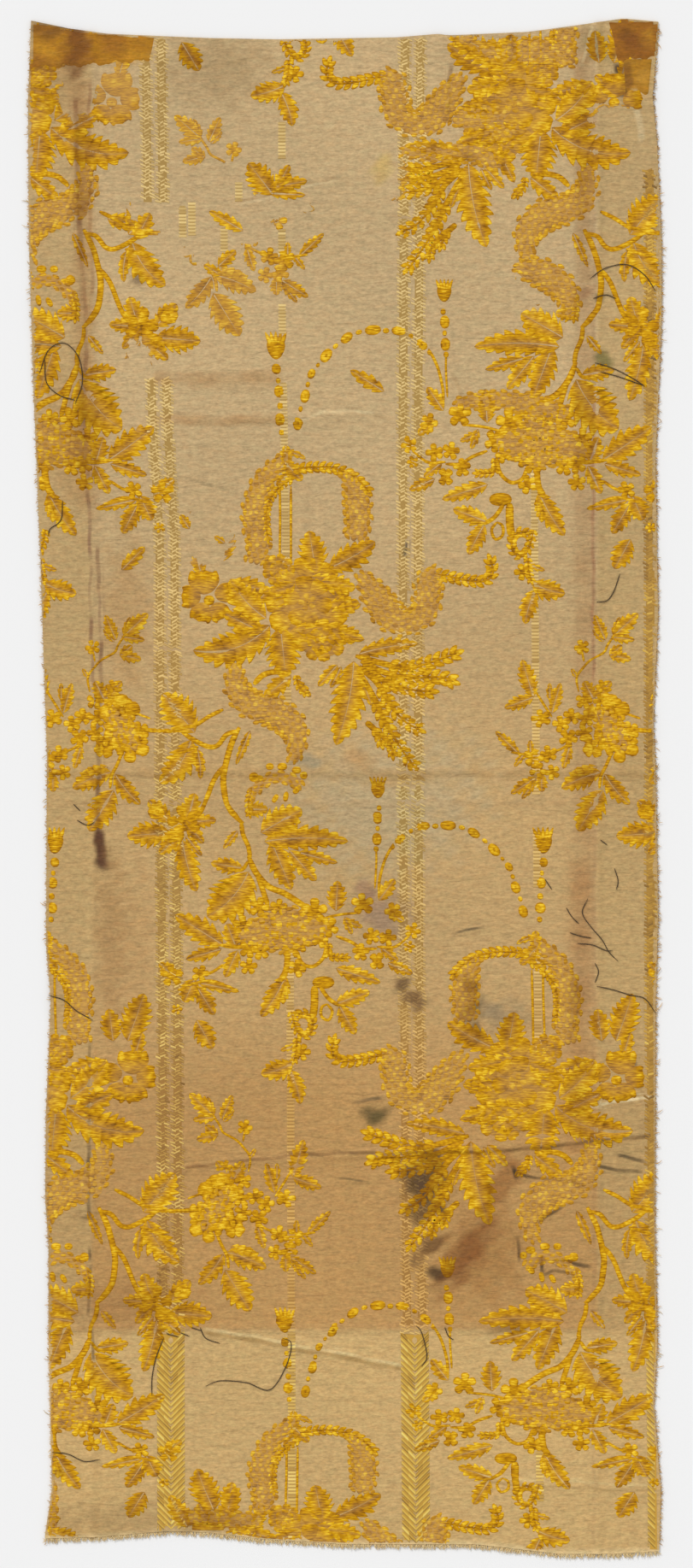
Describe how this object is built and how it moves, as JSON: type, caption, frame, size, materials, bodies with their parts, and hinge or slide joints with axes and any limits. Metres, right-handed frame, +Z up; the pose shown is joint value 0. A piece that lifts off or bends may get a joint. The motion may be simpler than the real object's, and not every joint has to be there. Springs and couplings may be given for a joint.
{
  "type": "woven silk brocade panel",
  "caption": "Old figured silk brocade panel lying flat, with gold leaf and flower figures on tan ground, narrow stripes, fold marks and one frayed end.",
  "frame": {"origin": "middle of the panel, on the surface it lies on", "axes": "+Y along the cloth towards its turned end, +X across it, +Z up from the surface"},
  "size_m": [0.3548, 0.8594, 0.0023],
  "materials": {
    "figured_silk": "satin"
  },
  "bodies": {
    "root": {"silk_panel": "figured_silk"}
  },
  "joints": []
}
